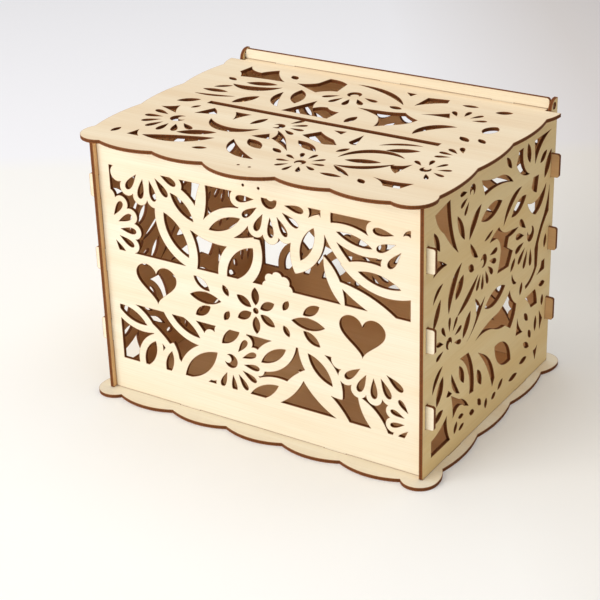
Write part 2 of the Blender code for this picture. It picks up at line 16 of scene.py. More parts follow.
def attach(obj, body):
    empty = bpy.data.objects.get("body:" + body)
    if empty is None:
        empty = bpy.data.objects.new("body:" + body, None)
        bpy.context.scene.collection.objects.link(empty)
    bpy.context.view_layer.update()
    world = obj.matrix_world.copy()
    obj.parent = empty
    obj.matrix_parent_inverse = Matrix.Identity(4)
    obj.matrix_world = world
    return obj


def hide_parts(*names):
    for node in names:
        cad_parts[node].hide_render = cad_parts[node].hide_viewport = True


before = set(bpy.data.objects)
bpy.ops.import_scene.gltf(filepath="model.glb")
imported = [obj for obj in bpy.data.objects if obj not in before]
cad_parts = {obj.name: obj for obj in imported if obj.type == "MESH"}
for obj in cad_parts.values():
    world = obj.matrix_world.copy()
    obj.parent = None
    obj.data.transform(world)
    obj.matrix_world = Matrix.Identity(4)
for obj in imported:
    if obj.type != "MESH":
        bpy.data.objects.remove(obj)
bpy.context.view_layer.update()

# Driving dimensions, in millimetres.
PLY = 3.0  # thickness of every panel
GAP = 0.3  # play between two panels that meet
HALF_WIDTH = 150.0  # middle to the outer face of a side panel
HALF_DEPTH = 112.5  # middle to the front edge of a side panel
WALL_TOP = 229.0  # top edge of the front and side panels
BACK_TOP = 228.0  # the back is lower, to leave room for the lid's heel
LIP = 4.5  # the front and back panels stand this far inside the side panels' edges
TAB = 20.0  # length of every tab
TAB_REACH = 7.0  # how far the wall tabs stand out of the side panels
TAB_HEIGHTS = (56.0, 120.5, 185.0)
FRONT_FEET = (-70.0, 70.0)
SIDE_FEET = (-60.0, 60.0)
FOOT_END = 0.2  # the feet stop this far above the underside of the base
LID_BOTTOM = WALL_TOP + GAP
LID_TOP = LID_BOTTOM + PLY
LID_REAR = 108.0
LID_CUT_BACK = 100.0
LID_HEEL = 145.0  # half width of the lid's rear edge, between the ears
SLOT_HALF = 107.0  # half length of the card slot
SLOT_FRONT = -11.0
SLOT_REAR = -5.0
PIN_Z = LID_TOP + 3.0
PIN_Y = LID_REAR - PLY / 2
PIN_HOLE = 6.0  # diameter
RAIL_TOP = LID_TOP + 9.0
RAIL_HALF = 146.2
RAIL_FEET = (-105.0, 0.0, 105.0)
PEG = 4.0  # height of the rail's end pegs, which are square-cut strips of the same plywood
EAR_FRONT = 100.8
EAR_TOP = 240.8
PILOT = 2.2  # diameter of the holes for the screws of a clasp
PILOT_Z = 213.0  # height of the pilot holes in the front panel
PILOT_Y = -115.5  # place of the pilot holes in the lid
EMBLEM_Z = 109.0  # middle of the front panel's emblem
TAB_CORNER = 2.0  # size of a tab's rounded corners
RAIL_CORNER = 2.5
EAR_CROWN = 109.5  # where the ear's round front meets its top

MM = 0.001
SMALLEST_OPENING = 6.0  # mm2: no gap of the lattice is smaller than this
ROUNDING = 0.02  # the straight runs of an arc stay this close to it
SHORTEST_EDGE = 0.15  # corners closer than this are one corner
FLATTEST_CORNER = 0.008  # a corner stands at least this far out of the line between its neighbours
LOBE = 14  # straight runs on each lobe of a scalloped edge
HEART = 64  # points on a heart
SEED = 18  # points on a flower's seed
BAND = 14  # straight runs along each side of a stem
EAR = 17  # points on the rounded front of an ear
DISC = 20  # points on a small round hole
PIN_DISC = 36  # points on the ear's hole
RIM = 0.55  # width of the scorched rim, in millimetres
RIM_STEP = 3.2  # longest straight run on an opening's rim
SHARP = 28.0  # degrees between two faces from which their edge isn't smoothed
INSIDE_ONLY = 1  # the triangulation's mode that keeps the triangles inside its outlines
SAME_POINT = 1e-5  # points closer than this are one point to the triangulation

# Proportions of the lattice's motifs.
SEED_PLACE = 0.62  # a seed's distance from its flower's middle, in the flower's radii
SEED_LENGTH = 0.46
SEED_WIDTH = 0.17
EYE_RADIUS = 0.19
PETAL_VALLEY = 0.84  # where two petals meet, in the flower's radii
LEAF_WALL = 0.17  # how much slimmer a leaf's opening is than it is short


def turned(points, x, y, degrees):
    """The outline turned about its own origin and moved to x, y."""
    c = math.cos(math.radians(degrees))
    s = math.sin(math.radians(degrees))
    return [(x + c * px - s * py, y + s * px + c * py) for px, py in points]


def arc(start, end, bulge, count=0):
    """Points of an arc without its last one, as many as count or as ROUNDING asks for.

    The arc bulges to the right of the way from start to end. A bulge of 0 makes it straight.
    """
    if not bulge:
        return [start]
    dx = end[0] - start[0]
    dy = end[1] - start[1]
    chord = math.hypot(dx, dy)
    radius = (chord * chord / 4 + bulge * bulge) / (2 * abs(bulge))
    half = math.asin(min(1.0, chord / 2 / radius))
    if abs(bulge) > chord / 2:
        half = math.pi - half
    count = count or max(2, math.ceil(half / math.acos(1 - ROUNDING / radius)))
    points = []
    for i in range(count):
        angle = -half + 2 * half * i / count
        along = 0.5 + radius * math.sin(angle) / chord
        off = math.copysign(radius * math.cos(angle) - radius + abs(bulge), bulge)
        points.append((start[0] + dx * along + dy / chord * off, start[1] + dy * along - dx / chord * off))
    return points


def box(x0, y0, x1, y1):
    """A rectangle from its lower left to its upper right corner."""
    return [(x0, y0), (x1, y0), (x1, y1), (x0, y1)]


def disc(x, y, diameter, count=DISC):
    """A round outline."""
    steps = [2 * math.pi * i / count for i in range(count)]
    return [(x + diameter / 2 * math.cos(a), y + diameter / 2 * math.sin(a)) for a in steps]


def leaf(x, y, length, width, angle):
    """A pointed oval."""
    a = (-length / 2, 0.0)
    b = (length / 2, 0.0)
    return turned(arc(a, b, width / 2) + arc(b, a, width / 2), x, y, angle)


def seed(x, y, length, width, angle):
    """A drop, pointed towards its flower's eye."""
    points = []
    for i in range(SEED):
        t = 2 * math.pi * i / SEED
        points.append((-length / 2 * math.cos(t), -width * 0.65 * math.sin(t) * abs(math.sin(t / 2)) ** 1.4))
    return turned(points, x, y, angle)


def bloom(x, y, radius, petals, angle):
    """The outline of a flower with round petals. The first petal starts at angle."""
    valley = radius * PETAL_VALLEY
    half = math.pi / petals
    bulge = radius - valley * math.cos(half)
    points = []
    for k in range(petals):
        a = 2 * half * k
        first = (valley * math.cos(a), valley * math.sin(a))
        last = (valley * math.cos(a + 2 * half), valley * math.sin(a + 2 * half))
        points += arc(first, last, bulge)
    return turned(points, x, y, angle)


def crescent(x, y, radius, angle):
    """The eye of a flower: a disc with a bite out of it."""
    tips = [(radius * math.cos(math.radians(a)), radius * math.sin(math.radians(a))) for a in (35, -35)]
    outer = arc(tips[0], tips[1], radius * (1 + math.cos(math.radians(35))))
    inner = arc(tips[1], tips[0], -radius * 0.85)
    return turned(outer + inner, x, y, angle)


def heart(x, y, width, height):
    """A heart, point down."""
    points = []
    for i in range(HEART):
        t = -2 * math.pi * i / HEART
        across = math.sin(t) ** 3
        up = 13 * math.cos(t) - 5 * math.cos(2 * t) - 2 * math.cos(3 * t) - math.cos(4 * t) + 2.5
        points.append((x + width / 2 * across, y + height / 29 * up))
    return points


def stem(start, lead, trail, end, first_width, last_width):
    """A band along a Bezier curve."""
    left = []
    right = []
    for i in range(BAND + 1):
        t = i / BAND
        weights = ((1 - t) ** 3, 3 * t * (1 - t) ** 2, 3 * t * t * (1 - t), t**3)
        slopes = (-((1 - t) ** 2), (1 - t) * (1 - 3 * t), t * (2 - 3 * t), t * t)
        x, y = (sum(w * p[k] for w, p in zip(weights, (start, lead, trail, end))) for k in (0, 1))
        dx, dy = (sum(w * p[k] for w, p in zip(slopes, (start, lead, trail, end))) for k in (0, 1))
        half = (first_width + (last_width - first_width) * t) / 2 / math.hypot(dx, dy)
        left.append((x - dy * half, y + dx * half))
        right.append((x + dy * half, y - dx * half))
    return right + left[::-1]


def gap(*corners):
    """An opening with a few corners. Each is x, y and the bulge of the side that follows it."""
    points = []
    for (x0, y0, bulge), (x1, y1, _) in zip(corners, corners[1:] + corners[:1]):
        points += arc((x0, y0), (x1, y1), bulge)
    return points


def sickle(x0, y0, x1, y1, outer, inner):
    """The space between two arcs from one tip to the other, which both bulge to the right of the way."""
    return gap((x0, y0, outer), (x1, y1, -inner))


def seeds(x, y, radius, first, step, count, eye):
    """The openings of a flower: seeds from the angle first on, step apart, and a crescent eye or None."""
    cuts = []
    for k in range(count):
        a = math.radians(first + step * k)
        middle = (x + radius * SEED_PLACE * math.cos(a), y + radius * SEED_PLACE * math.sin(a))
        cuts.append(seed(*middle, radius * SEED_LENGTH, radius * SEED_WIDTH, math.degrees(a)))
    if eye is not None:
        cuts.append(crescent(x, y, radius * EYE_RADIUS, eye))
    return cuts


def lattice(flowers, leaves, stems):
    """The solid motifs of a window, and what is pierced out of them.

    A flower is x, y, radius, petals, first seed's angle, number of seeds, eye's angle or None.
    A leaf is x, y, length, width, angle, and its opening as a part of it.
    A stem is four points and its width at both ends.
    """
    motifs = []
    pierced = []
    for x, y, radius, petals, first, count, eye in flowers:
        step = 360 / petals
        motifs.append(bloom(x, y, radius, petals, first - step / 2))
        pierced += seeds(x, y, radius, first, step, count, eye)
    for x, y, length, width, angle, opening in leaves:
        motifs.append(leaf(x, y, length, width, angle))
        if opening:
            pierced.append(leaf(x, y, length * opening, width * (opening - LEAF_WALL), angle))
    for points, first_width, last_width in stems:
        motifs.append(stem(*points, first_width, last_width))
    return motifs, pierced


def slits(origin, flowers, leaves, sickles, gaps):
    """A lattice that is mostly solid, as the list of its openings, with origin added to each."""
    cuts = []
    for flower in flowers:
        cuts += seeds(*flower)
    cuts += [leaf(*sizes) for sizes in leaves]
    cuts += [sickle(*sizes) for sizes in sickles]
    cuts += [gap(*corners) for corners in gaps]
    return [[(x + origin[0], y + origin[1]) for x, y in cut] for cut in cuts]


def area(loop):
    """The area inside a loop, negative if the loop runs clockwise."""
    return sum(a.x * b.y - b.x * a.y for a, b in zip(loop, loop[1:] + loop[:1])) / 2


def triangulated(outlines):
    """Triangles over all outlines, each with the set of outlines that it lies in."""
    points = []
    faces = []
    for outline in outlines:
        loop = [Vector(p) for p in outline]
        if area(loop) < 0:
            loop.reverse()
        faces.append(list(range(len(points), len(points) + len(loop))))
        points += loop
    found, _, triangles, _, _, inside = delaunay_2d_cdt(points, [], faces, INSIDE_ONLY, SAME_POINT)
    return found, [(tuple(t), set(held)) for t, held in zip(triangles, inside)]


def rims(points, kept):
    """The closed loops round the kept triangles, with the solid on their left."""
    ways = {(t[i], t[(i + 1) % 3]) for t in kept for i in range(3)}
    onward = {}
    for a, b in ways:
        if (b, a) not in ways:
            onward.setdefault(a, []).append(b)
    loops = []
    while onward:
        start = next(iter(onward))
        loop = []
        here = start
        while not loop or here != start:
            loop.append(points[here])
            after = onward[here].pop()
            if not onward[here]:
                del onward[here]
            here = after
        loops.append(loop)
    return loops


def tidied(loop):
    """The loop without points that stand almost on another one or on the line between their neighbours."""
    points = list(loop)
    i = 0
    while i < len(points) and len(points) > 3:
        before = points[i - 1]
        here = points[i]
        after = points[(i + 1) % len(points)]
        span = after - before
        off = abs(span.x * (here.y - before.y) - span.y * (here.x - before.x)) / max(span.length, 1e-6)
        if (here - before).length < SHORTEST_EDGE or off < FLATTEST_CORNER:
            points.pop(i)
            i = max(i - 1, 0)
        else:
            i += 1
    return points


def cut_sheet(plate, windows=(), motifs=(), pierced=(), cuts=(), holes=()):
    """The closed edges of a panel: a plate with lattice windows and plain cuts.

    The holes are kept however small they are.
    """
    outlines = [plate, *windows, *motifs, *pierced, *cuts]
    groups = []
    for group in ([plate], windows, motifs, pierced, cuts):
        start = groups[-1].stop if groups else 0
        groups.append(range(start, start + len(group)))
    points, triangles = triangulated(outlines)
    kept = []
    for triangle, held in triangles:
        on_plate, in_window, in_motif, in_pierced, in_cut = (any(i in held for i in g) for g in groups)
        lattice_solid = in_motif and not in_pierced
        if on_plate and not in_cut and (lattice_solid or not in_window):
            kept.append(triangle)
    loops = [tidied(loop) for loop in rims(points, kept)]
    loops = [loop for loop in loops if area(loop) > 100 * SMALLEST_OPENING or area(loop) < -SMALLEST_OPENING]
    loops += [[Vector(p) for p in hole[::-1]] for hole in holes]
    return loops


def scallops(valleys, bulges):
    """Arcs from valley to valley, and on to the first one."""
    points = []
    for a, b, bulge in zip(valleys, valleys[1:] + valleys[:1], bulges):
        points += arc(a, b, bulge, LOBE)
    return points


def base_outline():
    """Scalloped all round, with a broad lobe at each corner."""
    front = [(x, -118.7) for x in (-134.0, -80.4, -26.8, 26.8, 80.4, 134.0)]
    side = [(155.4, y) for y in (-90.0, -30.0, 30.0, 90.0)]
    half = front + [(160.7, -112.0)] + side + [(160.7, 112.0)]
    valleys = half + [(-x, -y) for x, y in half]
    bulges = ([6.0] * 5 + [9.0, 2.2] + [3.8] * 3 + [2.2, 9.0]) * 2
    return scallops(valleys, bulges)


def lid_outline():
    """Scalloped at the front and sides, and cut back at the rear to go between the ears."""
    front = [(x, -123.0) for x in (-131.0, -80.0, -33.0, 32.0, 79.0, 129.0)]
    side = [(154.5, y) for y in (-98.0, -38.0, 22.0, 82.0)]
    right = [(158.7, LID_CUT_BACK), (LID_HEEL, LID_CUT_BACK), (LID_HEEL, LID_REAR)]
    left = [(-x, y) for x, y in right[::-1]]
    points = scallops(front + side + right[:1], [5.0, 5.0, 12.0, 5.0, 5.0, 13.5, 3.0, 3.0, 3.0, 1.0, 1.0])
    points = points[: LOBE * 10]
    points += right
    for x in RAIL_FEET[::-1]:
        points += [(x + TAB / 2 + GAP, LID_REAR), (x + TAB / 2 + GAP, LID_REAR - PLY - GAP)]
        points += [(x - TAB / 2 - GAP, LID_REAR - PLY - GAP), (x - TAB / 2 - GAP, LID_REAR)]
    points += left
    mirrored = [(-x, y) for x, y in side[::-1]]
    way = left[-1:] + mirrored + front[:1]
    for a, b, bulge in zip(way, way[1:], (1.0, 3.0, 3.0, 3.0, 13.5)):
        points += arc(a, b, bulge, LOBE)[1 if a == way[0] else 0 :]
    return points


def wall_outline(top):
    """The front or back panel: three tabs at each end and two feet, with the tabs' outer corners rounded."""
    inner = HALF_WIDTH - PLY - GAP
    outer = HALF_WIDTH + TAB_REACH
    points = []
    for x in FRONT_FEET:
        points += [(x - TAB / 2, PLY + GAP), (x - TAB / 2, FOOT_END)]
        points += [(x + TAB / 2, FOOT_END), (x + TAB / 2, PLY + GAP)]
    right = [(inner, PLY + GAP)]
    for z in TAB_HEIGHTS:
        low = z - TAB / 2
        high = z + TAB / 2
        right.append((inner, low))
        right += arc((outer - TAB_CORNER, low), (outer, low + TAB_CORNER), 0.6, 6)
        right.append((outer, low + TAB_CORNER))
        right += arc((outer, high - TAB_CORNER), (outer - TAB_CORNER, high), 0.6, 6)
        right.append((outer - TAB_CORNER, high))
        right.append((inner, high))
    right.append((inner, top))
    return points + right + [(-x, z) for x, z in right[::-1]]


def side_outline():
    """A side panel, with two feet and the ear that carries the lid."""
    points = [(-HALF_DEPTH, PLY + GAP)]
    for y in SIDE_FEET:
        points += [(y - TAB / 2, PLY + GAP), (y - TAB / 2, FOOT_END)]
        points += [(y + TAB / 2, FOOT_END), (y + TAB / 2, PLY + GAP)]
    points += [(HALF_DEPTH, PLY + GAP), (HALF_DEPTH, EAR_TOP)]
    shoulder = LID_TOP - GAP
    for i in range(EAR):
        a = math.pi / 2 * i / (EAR - 1)
        y = EAR_CROWN - (EAR_CROWN - EAR_FRONT) * math.sin(a)
        points.append((y, shoulder + (EAR_TOP - shoulder) * math.cos(a)))
    return points + [(EAR_FRONT, WALL_TOP), (-HALF_DEPTH, WALL_TOP)]


def rail_outline():
    """The hinge rail: pegs at both ends, feet below and rounded upper corners."""
    right = [(RAIL_HALF, LID_TOP + GAP), (RAIL_HALF, PIN_Z - PEG / 2)]
    right += [(HALF_WIDTH, PIN_Z - PEG / 2), (HALF_WIDTH, PIN_Z + PEG / 2), (RAIL_HALF, PIN_Z + PEG / 2)]
    right += arc((RAIL_HALF, RAIL_TOP - RAIL_CORNER), (RAIL_HALF - RAIL_CORNER, RAIL_TOP), 0.73, 7)
    right.append((RAIL_HALF - RAIL_CORNER, RAIL_TOP))
    feet = []
    for x in RAIL_FEET:
        feet += [(x - TAB / 2, LID_TOP + GAP), (x - TAB / 2, LID_BOTTOM)]
        feet += [(x + TAB / 2, LID_BOTTOM), (x + TAB / 2, LID_TOP + GAP)]
    return feet + right + [(-x, z) for x, z in right[::-1]]


def slots_across(heights, y):
    """Slots through a side panel for the tabs of a wall whose middle plane is y."""
    return [box(y - PLY / 2 - GAP, z - TAB / 2 - GAP, y + PLY / 2 + GAP, z + TAB / 2 + GAP) for z in heights]


def emblem(z):
    """A row of cut-outs: a blossom in the middle, and a sprig and a heart on either hand."""
    cuts = [disc(0.0, z, 5.0)]
    for k in range(6):
        a = math.radians(60 * k + 30)
        cuts.append(leaf(12.5 * math.cos(a), z + 12.5 * math.sin(a), 15.0, 7.0, 60 * k + 30))
    for hand in (-1, 1):
        cuts.append(heart(hand * 96, z, 40.0, 34.0))
        cuts.append(leaf(hand * 48, z, 30.0, 10.0, 0.0))
        for rise in (-1, 1):
            cuts.append(leaf(hand * 51, z + rise * 12, 18.0, 7.5, hand * rise * 35))
            cuts.append(leaf(hand * 28, z + rise * 11, 10.0, 5.0, hand * rise * 60))
    return cuts


def along(loop, step):
    """The loop with its long runs divided."""
    points = []
    for a, b in zip(loop, loop[1:] + loop[:1]):
        parts = max(1, math.ceil((b - a).length / step))
        points += [a + (b - a) * (i / parts) for i in range(parts)]
    return points


def inset(loop, width):
    """Points beside the corners of the loop, on its solid side, with three round the tip of an opening."""
    points = []
    for before, here, after in zip(loop[-1:] + loop[:-1], loop, loop[1:] + loop[:1]):
        first = (here - before).normalized()
        last = (after - here).normalized()
        ahead = first - last
        turn = first.x * last.y - first.y * last.x
        sides = [Vector((-way.y, way.x)) for way in (first, last)]
        if ahead.length > 0.9 and turn < 0:
            sides.insert(1, ahead)
        elif ahead.length < 1.2:
            sides = [sides[0] + sides[1]]
        else:
            sides = []
        points += [here + side.normalized() * width for side in sides]
    return points


def fine_sheet(loops, within):
    """Points, their scorch from 0 to 1, and triangles of a flat shape with a narrow rim round every opening.

    No triangle crosses the box within, which is drawn on the sheet.
    """
    edges = [along(loop, RIM_STEP) for loop in loops]
    corners = [p for loop in edges for p in loop]
    tree = KDTree(len(corners))
    for i, p in enumerate(corners):
        tree.insert((p.x, p.y, 0.0), i)
    tree.balance()
    inner = [p for loop in edges for p in inset(loop, RIM)]
    inner = [p for p in inner if tree.find((p.x, p.y, 0.0))[2] > RIM * 0.8]
    faces = []
    points = []
    for loop in edges:
        ring = loop if area(loop) > 0 else loop[::-1]
        faces.append(list(range(len(points), len(points) + len(ring))))
        points += ring
    count = len(points)
    points += inner
    crease = len(points)
    points += [Vector(p) for p in box(*within)]
    creases = [(crease, crease + 1), (crease + 1, crease + 2), (crease + 2, crease + 3), (crease + 3, crease)]
    found, _, triangles, origin, _, inside = delaunay_2d_cdt(points, creases, faces, INSIDE_ONLY, SAME_POINT)
    kept = [tuple(t) for t, held in zip(triangles, inside) if len(set(held)) % 2]
    used = sorted({i for t in kept for i in t})
    rank = {i: k for k, i in enumerate(used)}
    scorch = [1.0 if any(k < count for k in origin[i]) else 0.0 for i in used]
    return [found[i] for i in used], scorch, [tuple(rank[i] for i in t) for t in kept]


def make_panel(node, body, loops, origin, across, up, side, within, shift):
    """A panel PLY thick that stands for a node.

    side is 1 where its lower side faces inwards, -1 where its upper side does, and 0 for neither. within
    is the part of that side that shows the browner inside veneer: painted shade and warm bounce light for
    the inside of the box, with a little smoke residue. shift moves the grain, so that no two panels
    show the same stretch of it.
    """
    points, scorch, triangles = fine_sheet(loops, within)
    normal = Vector(across).cross(Vector(up))
    place = Matrix(((*across, 0.0), (*up, 0.0), (*normal, 0.0), (*origin, 1.0))).transposed()
    mesh = bmesh.new()
    grain = mesh.loops.layers.uv.new("sheet")
    burn = mesh.verts.layers.float.new("scorch")
    lower = [mesh.verts.new(place @ Vector((p.x, p.y, 0.0)) * MM) for p in points]
    upper = [mesh.verts.new(place @ Vector((p.x, p.y, PLY)) * MM) for p in points]
    for rank in (lower, upper):
        for vertex, value in zip(rank, scorch):
            vertex[burn] = value
    for a, b, c in triangles:
        middle = (points[a] + points[b] + points[c]) / 3
        # Triangles inside within take the browner veneer that paints the shade inside the box.
        in_painted_shade = within[0] < middle.x < within[2] and within[1] < middle.y < within[3]
        top = mesh.faces.new((upper[a], upper[b], upper[c]))
        top.material_index = 1 if in_painted_shade and side < 0 else 0
        bottom = mesh.faces.new((lower[c], lower[b], lower[a]))
        bottom.material_index = 1 if in_painted_shade and side > 0 else 0
        for face, order in ((top, (a, b, c)), (bottom, (c, b, a))):
            for loop, i in zip(face.loops, order):
                loop[grain].uv = (points[i].x * MM + shift, points[i].y * MM + shift)
    ways = {(t[i], t[(i + 1) % 3]) for t in triangles for i in range(3)}
    onward = {a: b for a, b in ways if (b, a) not in ways}
    run = 0.0
    while onward:
        here = next(iter(onward))
        while here in onward:
            after = onward.pop(here)
            length = (points[after] - points[here]).length * MM
            wall = mesh.faces.new((lower[here], lower[after], upper[after], upper[here]))
            wall.material_index = 2
            corners = ((run, 0.0), (run + length, 0.0), (run + length, PLY * MM), (run, PLY * MM))
            for loop, corner in zip(wall.loops, corners):
                loop[grain].uv = corner
            run += length
            here = after
    data = bpy.data.meshes.new(node + "_ply")
    mesh.to_mesh(data)
    mesh.free()
    data.polygons.foreach_set("use_smooth", [True] * len(data.polygons))
    data.set_sharp_from_angle(angle=math.radians(SHARP))
    for material in (veneers[OUTER_VENEER.get(node, "veneer")], veneers["veneer_inside_painted_shade"], cut_edge):
        data.materials.append(material)
    panel = bpy.data.objects.new(node + "_ply", data)
    bpy.context.scene.collection.objects.link(panel)
    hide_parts(node)
    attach(panel, body)


WALL_WINDOWS = (box(-136, 133, 137, 206), box(-136, 33, 137, 86))
WALL_LATTICE = lattice(
    flowers=(
        (-100, 214, 38, 14, -128, 6, None),
        (-142, 152, 34, 13, -55, 5, None),
        (16, 205, 36, 13, -172, 7, 70),
        (138, 198, 38, 13, 150, 4, 200),
        (21, 133, 14, 8, 90, 0, None),
        (-26, 58, 32, 13, -112, 7, 160),
        (105, 92, 38, 14, -140, 5, None),
        (142, 47, 27, 11, 130, 5, 200),
    ),
    leaves=(
        (-73, 158, 66, 31, -57, 0.62),
        (-66, 183, 56, 25, -44, 0.52),
        (-48, 188, 52, 10, 80, 0.0),
        (-26, 177, 62, 25, 27, 0.54),
        (-13, 146, 62, 34, 52, 0.66),
        (49, 176, 58, 27, 67, 0.54),
        (90, 188, 60, 20, -14, 0.52),
        (111, 160, 68, 24, -11, 0.54),
        (104, 138, 70, 12, -24, 0.0),
        (72, 150, 44, 11, -66, 0.0),
        (-124, 76, 54, 22, -24, 0.6),
        (-70, 80, 58, 23, -32, 0.58),
        (-107, 44, 46, 23, 66, 0.6),
        (-88, 40, 42, 19, 76, 0.56),
        (-56, 47, 66, 30, 42, 0.68),
        (-25, 81, 44, 22, 44, 0.58),
        (-53, 69, 44, 11, -24, 0.0),
        (15, 73, 54, 24, 36, 0.54),
        (4, 38, 58, 24, 32, 0.6),
        (31, 50, 50, 11, 52, 0.0),
        (58, 72, 58, 27, -47, 0.55),
        (62, 47, 62, 14, -38, 0.0),
        (106, 40, 48, 14, -52, 0.0),
    ),
    stems=(
        (((-54, 168), (-42, 161), (-22, 160), (2, 168)), 9, 8),
        (((66, 208), (64, 192), (70, 178), (90, 161)), 9, 7),
        (((-106, 70), (-94, 62), (-84, 52), (-72, 30)), 7, 7),
    ),
)

SIDE_SLITS = slits(
    (-HALF_DEPTH, PLY),
    flowers=(
        (97, 145, 28, -118, 24, 6, 200),
        (182, 135, 34, 138, 27, 6, 110),
        (41, 99, 25, -20, 36, 7, 300),
        (76, 211, 24, 172, 30, 3, 250),
    ),
    leaves=(
        (20, 190, 20, 6, -62),
        (58, 187, 26, 7, -62),
        (109, 182, 36, 12, 6),
        (138, 211, 15, 5, -50),
        (174, 207, 18, 7, -75),
        (202, 195, 14, 6, 30),
        (211, 186, 24, 9, 62),
        (158, 168, 28, 10, 20),
        (21, 131, 24, 7, 62),
        (57, 139, 20, 9, 52),
        (76, 147, 11, 6, -35),
        (70, 102, 22, 8, 56),
        (119, 105, 36, 13, 8),
        (27, 64, 24, 9, 66),
        (63, 62, 20, 7, -66),
        (94, 45, 18, 7, -66),
        (136, 47, 40, 18, -40),
        (24, 43, 18, 7, 16),
        (211, 118, 12, 5, 80),
        (208, 80, 12, 5, -10),
        (63, 25, 9, 4, -10),
        (64, 15, 9, 4, 15),
        (54, 19, 10, 5, 65),
        (82, 19, 9, 5, -20),
        (95, 22, 10, 5, -50),
        (107, 15, 9, 5, 85),
        (121, 15, 8, 5, 20),
        (133, 20, 11, 5, 35),
        (157, 15, 16, 5, 0),
        (176, 22, 14, 5, 0),
        (150, 120, 12, 5, 50),
        (167, 92, 11, 5, 75),
        (179, 61, 12, 5, -50),
        (187, 42, 10, 5, -60),
        (181, 34, 14, 5, -35),
        (198, 47, 14, 5, 88),
        (210, 64, 10, 5, 90),
    ),
    sickles=(
        (91, 194, 72, 172, 6, -2),
        (74, 168, 87, 152, 4, -1),
        (162, 183, 131, 161, 8, 2),
        (30, 153, 15, 142, 4, 0),
        (60, 158, 40, 124, 9, 1),
        (54, 116, 88, 137, 5, -1),
        (31, 84, 15, 67, 5, 0),
        (46, 70, 60, 47, 5, 0),
        (149, 112, 158, 101, 4, 1),
        (98, 161, 112, 165, 2, -1),
    ),
    gaps=(
        ((54, 169, -3), (40, 216, 0), (17, 212, 2), (31, 193, 1)),
        ((15, 164, -1), (36, 166, 1), (18, 176, 0)),
        ((97, 199, -3), (146, 193, 3), (120, 206, -1), (91, 213, 0)),
        ((176, 189, -5), (163, 215, 0), (155, 215, -1), (151, 205, 4)),
        ((186, 194, -4), (215, 214, 0), (184, 214, 0)),
        ((190, 149, 5), (209, 170, -6), (174, 164, 2)),
        ((181, 175, 1), (191, 168, 0), (194, 182, 0), (184, 183, 0)),
        (
            (107, 156, 0),
            (119, 155, -2),
            (127, 142, -1),
            (122, 124, 0),
            (142, 122, 0),
            (149, 133, 0),
            (138, 140, 0),
            (141, 148, 1),
            (158, 150, 0),
            (139, 153, -2),
            (123, 163, 1),
        ),
        (
            (216, 166, -1),
            (207, 143, 1),
            (191, 118, 0),
            (192, 101, -2),
            (175, 91, 0),
            (176, 88, 3),
            (197, 101, 0),
            (198, 120, -2),
            (216, 143, 0),
        ),
        ((71, 87, 3), (101, 113, 0), (93, 108, 1), (84, 118, 0), (87, 103, -2)),
        ((86, 81, -3), (120, 76, 1), (139, 71, 0), (149, 64, 2), (159, 82, -2), (146, 99, -2), (124, 88, 2)),
        ((60, 77, -6), (77, 38, 0), (84, 37, 4), (74, 76, 0)),
        ((91, 68, -3), (118, 25, 0), (122, 31, 4), (101, 62, 0)),
        ((46, 51, -1), (49, 30, 0), (56, 35, -2), (68, 32, 0), (76, 28, 2), (59, 42, 0)),
        ((14, 13, 0), (45, 13, -2), (39, 37, -2), (14, 27, 0)),
        ((176, 79, -1), (188, 66, 0), (200, 65, 1), (195, 80, 0)),
        ((162, 67, -0.5), (160, 52, 0), (173, 50, -1.5)),
        ((196, 22, 0), (200, 12, 0), (204, 24, -1)),
        ((205, 56, 0), (207, 37, 0), (212, 46, 0)),
        ((38, 54, 1), (47, 53, 0), (41, 58, 0)),
        ((197, 92, 0), (212, 92, 0), (212, 101, 0), (206, 101, -2)),
    ),
)

